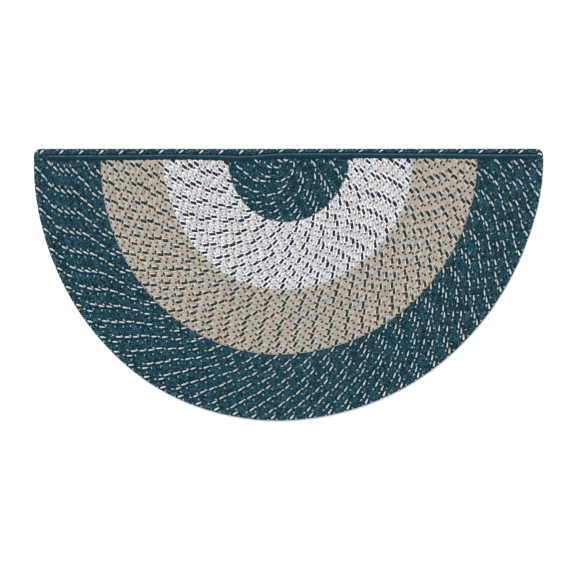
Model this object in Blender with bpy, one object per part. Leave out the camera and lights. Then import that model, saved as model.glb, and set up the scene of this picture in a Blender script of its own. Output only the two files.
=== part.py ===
"""A half-round braided rug: bands of coiled braid, a braid round the edge and a binding.

Lengths are in metres unless a name says otherwise. X runs along the straight edge, Y towards
it and Z up. The origin is on the surface the rug lies on, under the middle of its box.
"""

import math
from collections import namedtuple

import bmesh
import bpy

# Driving sizes of the rug
BRAID_THICKNESS = 0.0095
GROOVE_DEPTH = 0.0026
EDGE_BRAID_WIDTH = 0.0142
BACK_REACH = 0.0407
CORNER_RADIUS = 0.0165
BINDING_WIDTH = 0.0146
BINDING_THICKNESS = 0.0115
GAP = 0.0003

# Steps of the curved and straight runs, and how meshes are finished
ARC_STEPS = 30
CORNER_STEPS = 5
STRAIGHT_STEPS = 60
MERGE_DISTANCE = 1e-6
SHARP_ANGLE = math.radians(50.0)

# Rows of braid in each band, counted outwards
BAND_ROWS = {"core_band": 10, "ivory_band": 11, "tan_band": 11, "rim_band": 10}

# How far each band and the whole rug reach from the centre of the coil, in millimetres, by the
# angle in degrees from the right-hand end (0) round the front (90) to the left-hand end (180)
Reach = namedtuple("Reach", "angle core_band ivory_band tan_band rug")
REACH_TABLE = (
    Reach(0, 141.5, 293.5, 449.0, 608.0),
    Reach(20, 134.5, 291.0, 443.0, 596.5),
    Reach(40, 130.5, 288.5, 439.5, 593.5),
    Reach(60, 131.0, 289.0, 442.5, 597.5),
    Reach(80, 132.5, 294.5, 446.5, 604.5),
    Reach(100, 135.5, 299.0, 455.0, 613.5),
    Reach(120, 138.0, 300.5, 457.0, 618.0),
    Reach(140, 139.0, 298.0, 454.0, 613.5),
    Reach(160, 140.5, 296.5, 450.0, 609.5),
    Reach(180, 144.0, 301.5, 450.0, 611.0),
)

# The middle line of the binding, in millimetres: x along the straight edge and how far it
# lies in front of that edge
BindingKnot = namedtuple("BindingKnot", "x depth")
BINDING_TABLE = (
    BindingKnot(-620, 20.4),
    BindingKnot(-430, 20.2),
    BindingKnot(-270, 18.9),
    BindingKnot(-200, 19.2),
    BindingKnot(-92, 20.8),
    BindingKnot(4, 16.4),
    BindingKnot(100, 17.0),
    BindingKnot(460, 17.0),
    BindingKnot(545, 18.0),
    BindingKnot(598, 20.3),
)

# The binding's ends: distance from the end in millimetres, and the share of its width and of
# its thickness that is left there
BindingEnd = namedtuple("BindingEnd", "distance width height")
BINDING_END_TABLE = (
    BindingEnd(0.0, 0.55, 0.66),
    BindingEnd(3.0, 1.0, 0.86),
    BindingEnd(8.0, 1.0, 1.0),
)
BINDING_END_CLEARANCE = 0.012

# One row's ridge: share across the row, and how much of the groove's depth it stands up
RidgePoint = namedtuple("RidgePoint", "across rise")
RIDGE_PROFILE = (RidgePoint(0.0, 0.0), RidgePoint(0.25, 0.92), RidgePoint(0.75, 0.92))

# Sections of the edge braid and of the binding, with heights as a share of the thickness.
# The edge braid's width is counted from its outer side, the binding's from its middle line.
SectionPoint = namedtuple("SectionPoint", "across height")
EDGE_BRAID_SECTION = (
    SectionPoint(0.10, 0.0),
    SectionPoint(0.0, 0.42),
    SectionPoint(0.12, 0.86),
    SectionPoint(0.36, 1.0),
    SectionPoint(0.70, 1.0),
    SectionPoint(1.0, 0.73),
    SectionPoint(1.0, 0.0),
)
BINDING_SECTION = (
    SectionPoint(-0.41, 0.0),
    SectionPoint(-0.5, 0.28),
    SectionPoint(-0.485, 0.62),
    SectionPoint(-0.34, 0.90),
    SectionPoint(-0.11, 1.0),
    SectionPoint(0.11, 1.0),
    SectionPoint(0.34, 0.90),
    SectionPoint(0.485, 0.62),
    SectionPoint(0.5, 0.28),
    SectionPoint(0.41, 0.0),
)

# Colour in linear light and roughness of each piece
Finish = namedtuple("Finish", "colour roughness")
FINISHES = {
    "core_band": Finish((0.024, 0.066, 0.089), 0.86),
    "ivory_band": Finish((0.520, 0.510, 0.530), 0.84),
    "tan_band": Finish((0.400, 0.360, 0.310), 0.85),
    "rim_band": Finish((0.026, 0.070, 0.092), 0.86),
    "edge_braid": Finish((0.024, 0.066, 0.090), 0.86),
    "edge_binding": Finish((0.020, 0.070, 0.098), 0.72),
}


def metres(millimetres):
    """Turn a table's millimetres into metres."""
    return millimetres / 1000.0


def remove_scene_objects():
    """Start from an empty scene."""
    for item in list(bpy.data.objects):
        bpy.data.objects.remove(item, do_unlink=True)


def reach_of(column, angle):
    """Reach of a band or of the rug at an angle in radians, on a smooth curve through the table."""
    step = REACH_TABLE[1].angle - REACH_TABLE[0].angle
    values = [metres(getattr(row, column)) for row in REACH_TABLE]
    place = min(max(math.degrees(angle) / step, 0.0), len(values) - 1.0)
    index = min(int(place), len(values) - 2)
    t = place - index
    here = values[index]
    there = values[index + 1]
    before = values[max(index - 1, 0)]
    after = values[min(index + 2, len(values) - 1)]
    return (
        here * (2 * t ** 3 - 3 * t ** 2 + 1)
        + there * (3 * t ** 2 - 2 * t ** 3)
        + (there - before) / 2.0 * (t ** 3 - 2 * t ** 2 + t)
        + (after - here) / 2.0 * (t ** 3 - t ** 2)
    )


def arc_angle(step):
    """Angle of one step round the front of the rug."""
    return math.pi * step / ARC_STEPS


def coil_centre():
    """Plan position of the coil's centre, with the rug's box centred on the origin."""
    right = reach_of("rug", 0.0)
    left = reach_of("rug", math.pi)
    angles = [arc_angle(step) for step in range(ARC_STEPS + 1)]
    front = max(reach_of("rug", angle) * math.sin(angle) for angle in angles)
    return (left - right) / 2.0, (front - BACK_REACH) / 2.0


CENTRE_X, CENTRE_Y = coil_centre()
BACK_Y = CENTRE_Y + BACK_REACH
RIGHT_X = CENTRE_X + reach_of("rug", 0.0)
LEFT_X = CENTRE_X - reach_of("rug", math.pi)


def arc_point(reach, angle):
    """Plan point at a reach and angle round the coil's centre."""
    return CENTRE_X + reach * math.cos(angle), CENTRE_Y - reach * math.sin(angle)


def binding_line(x):
    """Y of the binding's middle line at x, with an eased run between the table's knots."""
    knots = [(metres(knot.x), metres(knot.depth)) for knot in BINDING_TABLE]
    for (x0, depth0), (x1, depth1) in zip(knots, knots[1:]):
        if x <= x1:
            share = max(x - x0, 0.0) / (x1 - x0)
            return BACK_Y - depth0 - (depth1 - depth0) * (1.0 - math.cos(math.pi * share)) / 2.0
    return BACK_Y - knots[-1][1]


def row_end_line(x):
    """Y at which the rows are cut, against the binding."""
    return binding_line(x) - BINDING_WIDTH / 2.0 - GAP


def row_line(reach_at):
    """Plan points of a line along the rows: down one side, round the front, up the other."""
    right_x = CENTRE_X + reach_at(0.0)
    left_x = CENTRE_X - reach_at(math.pi)
    arc = [arc_point(reach_at(arc_angle(step)), arc_angle(step)) for step in range(ARC_STEPS + 1)]
    return [(right_x, row_end_line(right_x)), *arc, (left_x, row_end_line(left_x))]


def band_limits(band, angle):
    """Inner and outer reach of one band at an angle."""
    bands = list(BAND_ROWS)
    place = bands.index(band)
    inner = reach_of(bands[place - 1], angle) + GAP if place else 0.0
    if band == "rim_band":
        return inner, reach_of("rug", angle) - EDGE_BRAID_WIDTH - GAP
    return inner, reach_of(band, angle)


def ridge_lines(rows):
    """Share across the band and height of each line of the ridged upper side."""
    floor = BRAID_THICKNESS - GROOVE_DEPTH
    lines = []
    for row in range(rows):
        for point in RIDGE_PROFILE:
            lines.append(((row + point.across) / rows, floor + point.rise * GROOVE_DEPTH))
    lines.append((1.0, floor))
    return lines


def make_material(name):
    """The plain finish of one piece."""
    finish = FINISHES[name]
    material = bpy.data.materials.new(name)
    material.use_nodes = True
    shader = material.node_tree.nodes["Principled BSDF"]
    shader.inputs["Base Color"].default_value = (*finish.colour, 1.0)
    shader.inputs["Roughness"].default_value = finish.roughness
    shader.inputs["Metallic"].default_value = 0.0
    return material


def add_object(name, vertices, faces):
    """Make one closed, smooth-shaded object with its own material."""
    mesh = bpy.data.meshes.new(name)
    mesh.from_pydata(vertices, [], faces)
    shape = bmesh.new()
    shape.from_mesh(mesh)
    bmesh.ops.remove_doubles(shape, verts=shape.verts, dist=MERGE_DISTANCE)
    bmesh.ops.recalc_face_normals(shape, faces=shape.faces)
    shape.to_mesh(mesh)
    shape.free()
    mesh.shade_smooth()
    mesh.set_sharp_from_angle(angle=SHARP_ANGLE)
    mesh.materials.append(make_material(name))
    item = bpy.data.objects.new(name, mesh)
    bpy.context.scene.collection.objects.link(item)
    return item


def make_band(band):
    """One band of rows: ridged above, flat below, cut square to the binding at both ends."""
    rows = BAND_ROWS[band]
    per_row = len(RIDGE_PROFILE)
    vertices = []
    top = []
    for share, height in ridge_lines(rows):
        def reach_at(angle, share=share):
            inner, outer = band_limits(band, angle)
            return inner + share * (outer - inner)

        line = row_line(reach_at)
        top.append(range(len(vertices), len(vertices) + len(line)))
        vertices += [(x, y, height) for x, y in line]

    def foot(line, station):
        x, y, _ = vertices[top[line][station]]
        vertices.append((x, y, 0.0))
        return len(vertices) - 1

    last_line = len(top) - 1
    last_station = len(top[0]) - 1
    grooves = range(0, last_line + 1, per_row)
    end_feet = {end: [foot(line, end) for line in grooves] for end in (0, last_station)}
    between = range(1, last_station)
    inner = [end_feet[0][0], *[foot(0, s) for s in between], end_feet[last_station][0]]
    outer = [end_feet[0][-1], *[foot(last_line, s) for s in between], end_feet[last_station][-1]]

    faces = []
    for s in range(last_station):
        for line in range(last_line):
            faces.append((top[line][s], top[line][s + 1], top[line + 1][s + 1], top[line + 1][s]))
        faces.append((outer[s], outer[s + 1], top[last_line][s + 1], top[last_line][s]))
        if band != "core_band":
            faces.append((top[0][s], top[0][s + 1], inner[s + 1], inner[s]))
    for s in range(1, last_station - 1):
        faces.append((inner[s], outer[s], outer[s + 1], inner[s + 1]))
    for end, beside in ((0, 1), (last_station, last_station - 1)):
        feet = end_feet[end]
        faces.append((inner[beside], *feet, outer[beside]))
        for row in range(rows):
            first = row * per_row
            ridge = [top[line][end] for line in range(first, first + per_row + 1)]
            faces.append((*ridge, feet[row + 1], feet[row]))
    return add_object(band, vertices, faces)


def straight_stations():
    """X of each station of the straight run, from the left-hand corner to the right-hand one."""
    left = LEFT_X + CORNER_RADIUS
    right = RIGHT_X - CORNER_RADIUS
    return [left + (right - left) * step / STRAIGHT_STEPS for step in range(STRAIGHT_STEPS + 1)]


def corner_pairs(pivot_x, first_angle):
    """Outer and inner plan points of a quarter turn round a corner of the straight edge."""
    pivot_y = BACK_Y - CORNER_RADIUS
    pairs = []
    for step in range(CORNER_STEPS + 1):
        angle = first_angle - math.pi / 2.0 * step / CORNER_STEPS
        pair = []
        for radius in (CORNER_RADIUS, CORNER_RADIUS - EDGE_BRAID_WIDTH):
            pair.append((pivot_x + radius * math.cos(angle), pivot_y + radius * math.sin(angle)))
        pairs.append(pair)
    return pairs


def edge_braid_pairs():
    """Outer and inner plan points of the edge braid, all the way round."""
    pairs = []
    for step in range(ARC_STEPS + 1):
        angle = arc_angle(step)
        reach = reach_of("rug", angle)
        pairs.append([arc_point(reach, angle), arc_point(reach - EDGE_BRAID_WIDTH, angle)])
    xs = straight_stations()
    pairs += corner_pairs(xs[0], math.pi)[:-1]
    for x in xs:
        binding_side = binding_line(x) + BINDING_WIDTH / 2.0 + GAP
        pairs.append([(x, BACK_Y), (x, max(binding_side, BACK_Y - EDGE_BRAID_WIDTH))])
    pairs += corner_pairs(xs[-1], math.pi / 2.0)[1:]
    return pairs


def loft_faces(count, around, closed):
    """Quads between neighbouring sections, and a face on each end of an open loft."""
    sections = count // around
    faces = []
    for section in range(sections if closed else sections - 1):
        start = section * around
        follow = (section + 1) % sections * around
        for i in range(around):
            j = (i + 1) % around
            faces.append((start + i, start + j, follow + j, follow + i))
    if not closed:
        faces.append(tuple(range(around)))
        faces.append(tuple(range(count - around, count)))
    return faces


def make_edge_braid():
    """The outermost row, one closed loop round the front and along the straight edge."""
    vertices = []
    for (outer_x, outer_y), (inner_x, inner_y) in edge_braid_pairs():
        for point in EDGE_BRAID_SECTION:
            x = outer_x + point.across * (inner_x - outer_x)
            y = outer_y + point.across * (inner_y - outer_y)
            vertices.append((x, y, point.height * BRAID_THICKNESS))
    faces = loft_faces(len(vertices), len(EDGE_BRAID_SECTION), closed=True)
    return add_object("edge_braid", vertices, faces)


def binding_stations():
    """X and the shares of width and thickness of each section of the binding."""
    left = LEFT_X + EDGE_BRAID_WIDTH + GAP
    right = RIGHT_X - EDGE_BRAID_WIDTH - GAP
    low = left + BINDING_END_CLEARANCE
    high = right - BINDING_END_CLEARANCE
    ends = BINDING_END_TABLE
    stations = [(left + metres(end.distance), end.width, end.height) for end in ends]
    stations += [(x, 1.0, 1.0) for x in straight_stations() if low < x < high]
    stations += [(right - metres(end.distance), end.width, end.height) for end in reversed(ends)]
    return stations


def make_binding():
    """The rolled strip over the cut ends of the rows."""
    vertices = []
    for x, width, height in binding_stations():
        for point in BINDING_SECTION:
            y = binding_line(x) + point.across * width * BINDING_WIDTH
            vertices.append((x, y, point.height * height * BINDING_THICKNESS))
    faces = loft_faces(len(vertices), len(BINDING_SECTION), closed=False)
    return add_object("edge_binding", vertices, faces)


def main():
    """Build the rug."""
    remove_scene_objects()
    for band in BAND_ROWS:
        make_band(band)
    make_edge_braid()
    make_binding()


main()
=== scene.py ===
import math
from collections import namedtuple

import bmesh
import bpy
import numpy as np
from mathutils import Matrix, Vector


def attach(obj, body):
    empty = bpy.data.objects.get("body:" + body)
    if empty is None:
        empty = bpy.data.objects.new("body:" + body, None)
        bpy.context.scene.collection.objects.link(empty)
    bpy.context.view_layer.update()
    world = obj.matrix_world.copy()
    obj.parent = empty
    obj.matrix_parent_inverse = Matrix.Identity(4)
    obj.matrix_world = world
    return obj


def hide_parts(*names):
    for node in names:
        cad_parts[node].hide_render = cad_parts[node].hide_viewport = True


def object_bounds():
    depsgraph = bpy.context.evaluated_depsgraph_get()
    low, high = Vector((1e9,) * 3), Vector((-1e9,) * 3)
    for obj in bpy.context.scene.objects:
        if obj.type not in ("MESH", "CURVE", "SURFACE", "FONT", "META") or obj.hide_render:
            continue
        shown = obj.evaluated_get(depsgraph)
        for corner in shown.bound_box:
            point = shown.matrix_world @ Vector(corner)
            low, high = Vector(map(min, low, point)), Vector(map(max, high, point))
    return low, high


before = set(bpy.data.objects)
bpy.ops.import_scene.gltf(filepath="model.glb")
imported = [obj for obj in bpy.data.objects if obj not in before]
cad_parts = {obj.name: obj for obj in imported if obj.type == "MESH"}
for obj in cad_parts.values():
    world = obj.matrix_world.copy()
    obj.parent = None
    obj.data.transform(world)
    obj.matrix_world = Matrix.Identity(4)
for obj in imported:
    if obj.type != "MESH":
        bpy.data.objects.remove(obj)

# A half-round braided rug: bands of coiled flat braid in three colourings, one more row of braid
# round the whole edge, and a rolled fabric strip over the cut ends of the rows.
# Lengths are in metres unless a comment says millimetres. The rug lies flat on z = 0, its
# straight edge along +Y, and the rows are counted outwards.

CAD_LOW, CAD_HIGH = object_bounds()
RIGHT_X = CAD_HIGH.x
LEFT_X = CAD_LOW.x
BACK_Y = CAD_HIGH.y
BODY = "root"

# Sizes of the rug, as in the part
BRAID_THICKNESS = 0.0095
EDGE_BRAID_WIDTH = 0.0142
BACK_REACH = 0.0407
CORNER_RADIUS = 0.0165
BINDING_WIDTH = 0.0146
BINDING_THICKNESS = 0.0115
GAP = 0.0003
CENTRE_Y = BACK_Y - BACK_REACH

# How far each band and the whole rug reach from the centre of the coil, in millimetres, by the
# angle in degrees from the right-hand end (0) round the front (90) to the left-hand end (180)
Reach = namedtuple("Reach", "angle core_band ivory_band tan_band rug")
REACH_TABLE = (
    Reach(0, 141.5, 293.5, 449.0, 608.0),
    Reach(20, 134.5, 291.0, 443.0, 596.5),
    Reach(40, 130.5, 288.5, 439.5, 593.5),
    Reach(60, 131.0, 289.0, 442.5, 597.5),
    Reach(80, 132.5, 294.5, 446.5, 604.5),
    Reach(100, 135.5, 299.0, 455.0, 613.5),
    Reach(120, 138.0, 300.5, 457.0, 618.0),
    Reach(140, 139.0, 298.0, 454.0, 613.5),
    Reach(160, 140.5, 296.5, 450.0, 609.5),
    Reach(180, 144.0, 301.5, 450.0, 611.0),
)
CENTRE_X = RIGHT_X - REACH_TABLE[0].rug / 1000.0

# The middle line of the binding, in millimetres: x along the straight edge and how far it
# lies in front of that edge; and where its left end is
BindingKnot = namedtuple("BindingKnot", "x depth")
BINDING_TABLE = (
    BindingKnot(-620, 22.0),
    BindingKnot(-430, 21.6),
    BindingKnot(-270, 19.8),
    BindingKnot(-200, 20.8),
    BindingKnot(-120, 23.2),
    BindingKnot(4, 16.6),
    BindingKnot(100, 16.6),
    BindingKnot(350, 17.6),
    BindingKnot(480, 19.4),
    BindingKnot(598, 19.4),
)
BINDING_LEFT_X = -0.5765

# The rows of each band from the innermost outwards: how many repeats past the middle of the
# front, to the left, an accent stands, and the row's mean repeat in millimetres
RowPlan = namedtuple("RowPlan", "phase repeat")
BAND_PLANS = {
    "core_band": (
        RowPlan(0.10, 44.0),
        RowPlan(0.62, 44.0),
        RowPlan(0.76, 45.3),
        RowPlan(0.27, 47.6),
        RowPlan(0.20, 48.7),
        RowPlan(0.43, 49.9),
        RowPlan(0.99, 49.2),
        RowPlan(0.83, 49.4),
        RowPlan(0.66, 48.4),
        RowPlan(0.52, 48.5),
    ),
    "ivory_band": (
        RowPlan(0.52, 42.6),
        RowPlan(0.60, 43.0),
        RowPlan(0.02, 42.3),
        RowPlan(0.85, 41.4),
        RowPlan(0.18, 42.3),
        RowPlan(0.98, 43.4),
        RowPlan(0.43, 43.4),
        RowPlan(0.96, 43.0),
        RowPlan(0.74, 43.6),
        RowPlan(0.31, 43.2),
        RowPlan(0.39, 42.9),
    ),
    "tan_band": (
        RowPlan(0.38, 42.5),
        RowPlan(0.09, 43.5),
        RowPlan(0.28, 44.4),
        RowPlan(0.38, 43.4),
        RowPlan(0.95, 43.9),
        RowPlan(0.42, 44.1),
        RowPlan(0.60, 43.7),
        RowPlan(0.58, 44.2),
        RowPlan(0.71, 43.9),
        RowPlan(0.65, 43.6),
        RowPlan(0.24, 43.6),
    ),
    "rim_band": (
        RowPlan(0.71, 48.2),
        RowPlan(0.13, 48.1),
        RowPlan(0.98, 48.4),
        RowPlan(0.80, 48.3),
        RowPlan(0.28, 49.3),
        RowPlan(0.08, 48.3),
        RowPlan(0.52, 48.5),
        RowPlan(0.03, 48.6),
        RowPlan(0.44, 49.4),
        RowPlan(0.96, 47.7),
    ),
}

# The same for the edge braid, round the front
EDGE_BRAID_PLAN = RowPlan(0.84, 47.7)

# Share by which a repeat is longer than its row's mean at both ends, and shorter at the front
REPEAT_STRETCH = 0.045

# The middle of the core's coil, along X and Y from the centre of the outer rows
EYE_OFFSET = (-0.0025, 0.0168)

# On the straight edge: where one of the edge braid's accents stands, and its repeat there
STRAIGHT_ACCENT_X = -0.543
STRAIGHT_REPEAT = 0.04776

# Steps round a row and in each repeat, repeats to spare at a row's ends, points round a corner,
# stations along a body and round its measured area, and steps from one knot to the next
ARC_STEPS = 240
STEPS_PER_REPEAT = 16
SPARE_REPEATS = 1
CORNER_POINTS = 13
BODY_STATIONS = 61
AREA_STATIONS = 181
CURVE_STEPS = 12

# How far a row's line runs on past its end, how far the last stitches reach under the binding,
# and how far the rows keep off the edge braid beside the binding's left end
ROW_OVERRUN = 0.035
STITCH_OVERRUN = 0.0006
CORNER_ROW_GAP = 0.0024

# One stitch of yarn in the braid: along and across are shares of the repeat and of the row,
# height is a share of the braid's thickness and girth a share of the yarn's own width. Leads
# slant over the braid and returns come back at its side. Bars and drops are forms of the
# accents, and the rest are short bits of yarn that peep out.
Knot = namedtuple("Knot", "along across height girth")
LEAD_KNOTS = (
    Knot(-0.116, -0.48, 0.90, 0.60),
    Knot(-0.078, -0.35, 0.98, 0.95),
    Knot(-0.026, -0.18, 1.00, 1.00),
    Knot(0.026, 0.00, 1.00, 1.00),
    Knot(0.078, 0.18, 0.98, 0.95),
    Knot(0.112, 0.29, 0.90, 0.60),
)
RETURN_KNOTS = (
    Knot(0.078, 0.21, 0.90, 0.65),
    Knot(0.032, 0.335, 0.98, 1.05),
    Knot(-0.026, 0.46, 0.96, 1.05),
    Knot(-0.070, 0.58, 0.88, 0.70),
)
EDGE_RETURN_KNOTS = (
    Knot(0.084, 0.20, 0.90, 0.65),
    Knot(0.050, 0.35, 0.97, 1.10),
    Knot(0.012, 0.480, 0.80, 1.30),
    Knot(-0.034, 0.512, 0.52, 1.30),
    Knot(-0.078, 0.455, 0.20, 1.00),
)
BAR_KNOTS = (
    Knot(-0.110, -0.47, 0.94, 1.10),
    Knot(-0.084, -0.38, 1.04, 1.70),
    Knot(-0.024, -0.18, 1.07, 1.85),
    Knot(0.028, 0.01, 1.07, 1.85),
    Knot(0.084, 0.20, 1.04, 1.70),
    Knot(0.110, 0.29, 0.94, 1.10),
)
DROP_KNOTS = (
    Knot(-0.120, -0.46, 0.94, 0.30),
    Knot(-0.085, -0.36, 1.02, 0.70),
    Knot(-0.030, -0.19, 1.05, 1.05),
    Knot(0.030, -0.01, 1.06, 1.25),
    Knot(0.078, 0.14, 1.04, 1.15),
    Knot(0.106, 0.23, 0.94, 0.60),
)
LEAD_PEEK_KNOTS = (
    Knot(-0.060, -0.060, 0.92, 0.60),
    Knot(-0.022, -0.025, 1.06, 1.20),
    Knot(0.024, 0.025, 1.06, 1.20),
    Knot(0.060, 0.060, 0.92, 0.60),
)
DOT_KNOTS = (
    Knot(0.036, -0.14, 0.94, 0.80),
    Knot(0.014, -0.06, 1.10, 1.25),
    Knot(-0.014, 0.06, 1.10, 1.25),
    Knot(-0.036, 0.14, 0.94, 0.80),
)
SLASH_KNOTS = (
    Knot(0.090, -0.20, 0.94, 0.60),
    Knot(0.040, -0.09, 1.07, 1.10),
    Knot(-0.040, 0.09, 1.07, 1.10),
    Knot(-0.090, 0.20, 0.94, 0.60),
)
EDGE_PEEK_KNOTS = (
    Knot(0.026, -0.125, 0.93, 0.60),
    Knot(0.010, -0.060, 1.03, 1.20),
    Knot(-0.012, 0.012, 0.97, 1.20),
    Knot(-0.032, 0.055, 0.76, 0.70),
)

# How many stitches a repeat has, where across the row the leads have their middle, and how far
# the returns lag behind them
LEADS_PER_REPEAT = 8
RETURNS_PER_REPEAT = 8
LEAD_MIDDLE = -0.08
RETURN_LAG = 0.27

# The yarns' widths and how high their crowns rise; the facets round a stitch on top and
# underneath; and the underside's shift along the row and its reach to the sides, as shares
YARN_WIDTH = 0.0039
RETURN_YARN_WIDTH = 0.0030
YARN_RISE = 0.0017
TOP_FACETS = 3
UNDER_FACETS = 2
UNDER_PHASE = 0.5
UNDER_SIDE = 0.41

# How far a stitch may wander from its place, in shares of the repeat and of the row and in metres
# of height
LOOSENESS = (0.006, 0.014, 0.00022)

# Seeds of the bands and of the edge braid, what a stitch's lightness adds to its seed, and the
# numbers that each repeat keeps for its stitches
FIRST_SEED = 11
SEED_STEP = 10
EDGE_SEED = 71
SHADE_SEED_STEP = 7.0
NUMBERS_PER_REPEAT = 64.0

# More repeats than a stitch ever lies from its place: the closed row has no ends
NO_LIMIT = 2.0

# Attributes that only the laying of the braid needs
SPENT_ATTRIBUTES = (
    "place", "stitch_middle", "stitch_number", "first_step", "low_limit", "high_limit",
    "repeat_number", "across",
)


def srgb(red, green, blue):
    """Linear colour of a colour given in display values from 0 to 255."""
    shares = (red / 255.0, green / 255.0, blue / 255.0)
    return tuple(s / 12.92 if s <= 0.04045 else ((s + 0.055) / 1.055) ** 2.4 for s in shares)


# Yarn colours
TEAL = srgb(37, 73, 87)
EDGE_TEAL = srgb(44, 81, 94)
TEAL_DEEP = srgb(23, 51, 63)
PALE_BLUE = srgb(147, 178, 188)
OATMEAL = srgb(187, 197, 197)
IVORY = srgb(191, 188, 189)
PALE_IVORY = srgb(228, 228, 232)
WHITE = srgb(245, 248, 253)
GREY = srgb(104, 109, 106)
SAND = srgb(160, 156, 149)
NAVY = srgb(34, 42, 57)
NAVY_GREY = srgb(52, 61, 71)
PLUM = srgb(70, 50, 58)
TAN = srgb(184, 176, 165)
TAN_LIGHT = srgb(205, 202, 192)
BOTTLE = srgb(39, 51, 49)
MOSS = srgb(86, 79, 62)
RUST = srgb(64, 34, 30)
OLIVE = srgb(61, 54, 41)

# Which yarns a braid is made of: the ground, the yarn of the returns and of every other lead,
# how much their lightness strays, the accent that leads each repeat with its form and size,
# the yarn on both sides of it, and the bits of yarn that peep out at other places
Peek = namedtuple("Peek", "knots along across size colour")
Colouring = namedtuple("Colouring", "ground returns stray accent form size beside peeks")
TEAL_PEEKS = (
    Peek(LEAD_PEEK_KNOTS, 0.240, 0.48, 1.0, OATMEAL),
    Peek(DOT_KNOTS, -0.200, 0.27, 1.0, PALE_BLUE),
)
COLOURINGS = {
    "teal": Colouring(TEAL, TEAL, 0.40, OATMEAL, DROP_KNOTS, 1.0, TEAL_DEEP, TEAL_PEEKS),
    "edge": Colouring(
        EDGE_TEAL, EDGE_TEAL, 0.40, OATMEAL, DROP_KNOTS, 1.2, TEAL_DEEP,
        (Peek(EDGE_PEEK_KNOTS, 0.240, 0.44, 1.0, OATMEAL), TEAL_PEEKS[1]),
    ),
    "ivory": Colouring(
        IVORY, PALE_IVORY, 0.14, NAVY, BAR_KNOTS, 1.30, WHITE,
        (
            Peek(LEAD_PEEK_KNOTS, 0.215, 0.46, 1.40, NAVY_GREY),
            Peek(DOT_KNOTS, -0.200, 0.30, 1.60, PLUM),
            Peek(DOT_KNOTS, 0.400, 0.10, 1.50, GREY),
            Peek(DOT_KNOTS, -0.410, -0.37, 1.45, SAND),
        ),
    ),
    "tan": Colouring(
        TAN, TAN, 0.12, BOTTLE, BAR_KNOTS, 1.24, TAN_LIGHT,
        (
            Peek(DOT_KNOTS, 0.485, -0.14, 1.70, RUST),
            Peek(SLASH_KNOTS, 0.270, 0.42, 1.45, OLIVE),
            Peek(DOT_KNOTS, -0.190, 0.31, 1.15, MOSS),
        ),
    ),
}

# How much the lightness of an accent or a peek strays
ACCENT_STRAY = 0.06

# The bodies under the stitches: heights of their foot and top, how far a band's body keeps off
# its neighbours, the ridge over each row, and the edge braid's section. Across is a share of
# the row's width.
BODY_FOOT = 0.0016
BODY_TOP = 0.0070
BODY_INSET = 0.0002
RidgePoint = namedtuple("RidgePoint", "across rise")
BODY_RIDGE = (
    RidgePoint(0.0, 0.0),
    RidgePoint(0.28, 0.0010),
    RidgePoint(0.72, 0.0010),
)
SectionPoint = namedtuple("SectionPoint", "across height")
EDGE_SECTION = (
    SectionPoint(-0.53, BODY_FOOT),
    SectionPoint(-0.53, BODY_TOP),
    SectionPoint(0.0, 0.0080),
    SectionPoint(0.39, 0.0058),
    SectionPoint(0.43, 0.0036),
    SectionPoint(0.43, BODY_FOOT),
)

# The binding's strip from one edge round the top to the other, in shares of its width and height
BINDING_PROFILE = (
    SectionPoint(-0.05, 0.0),
    SectionPoint(-0.22, 0.0),
    SectionPoint(-0.40, 0.0),
    SectionPoint(-0.485, 0.14),
    SectionPoint(-0.50, 0.34),
    SectionPoint(-0.475, 0.62),
    SectionPoint(-0.36, 0.87),
    SectionPoint(-0.16, 0.985),
    SectionPoint(0.04, 1.0),
    SectionPoint(0.24, 0.96),
    SectionPoint(0.41, 0.81),
    SectionPoint(0.49, 0.56),
    SectionPoint(0.50, 0.30),
    SectionPoint(0.475, 0.12),
    SectionPoint(0.40, 0.0),
    SectionPoint(0.22, 0.0),
    SectionPoint(0.05, 0.0),
)

# Points round the strip and stations along it, how far it spreads past the solid on each side,
# and how thick its fabric is
BINDING_FACETS = 44
BINDING_STATIONS = 260
BINDING_SPREAD = 0.0004
TAPE_THICKNESS = 0.0009

# How the binding narrows and sinks by the distance from its end, as shares of its size
BindingEnd = namedtuple("BindingEnd", "distance width height")
BINDING_END_TABLE = (
    BindingEnd(0.0, 0.55, 0.66),
    BindingEnd(0.003, 1.0, 0.86),
    BindingEnd(0.008, 1.0, 1.0),
)

# The binding's puckers: waves along it, how far they lift it and sway it, and by how many
# stations the sway lags behind
Pucker = namedtuple("Pucker", "length phase")
PUCKERS = (
    Pucker(0.0231, 0.0),
    Pucker(0.0143, 0.31),
    Pucker(0.0397, 0.74),
)
PUCKER_RISE = 0.0005
PUCKER_SWAY = 0.0003
PUCKER_LAG = 5

# The binding's fabric: the spacing of its ribs and warp threads, its colour, and the colour of
# a painted highlight along its top, whose place and breadth are shares of the binding's width
TAPE_RIB = 0.0021
TAPE_WARP = 0.0017
TAPE_COLOUR = srgb(18, 47, 59)
HIGHLIGHT_COLOUR = srgb(56, 93, 108)
HIGHLIGHT_PLACE = 0.22
HIGHLIGHT_BREADTH = 0.085

# How each surface takes the light, and the strength and depth of its bump
Surface = namedtuple("Surface", "roughness gloss bump depth")
YARN_SURFACE = Surface(0.95, 0.06, 0.8, 0.0004)
FILLER_SURFACE = Surface(0.95, 0.10, 0.7, 0.0005)
TAPE_SURFACE = Surface(0.60, 0.08, 0.8, 0.0003)
FLOOR_SURFACE = Surface(0.90, 0.0, 0.0, 0.0)
FLOOR_SHADE = 0.95

# Mottling of a colour: the size of its features, their fineness, how far the pattern is moved
# off the plain one, and how far it takes the colour
Mottle = namedtuple("Mottle", "size detail shift reach")
FILLER_MOTTLE = Mottle(0.0021, 3.0, 0.0, 1.6)
HIGHLIGHT_MOTTLE = Mottle(0.012, 2.0, 0.0, 1.1)
TAPE_MOTTLE = Mottle(0.0035, 3.0, 2.3, 0.7)
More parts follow.
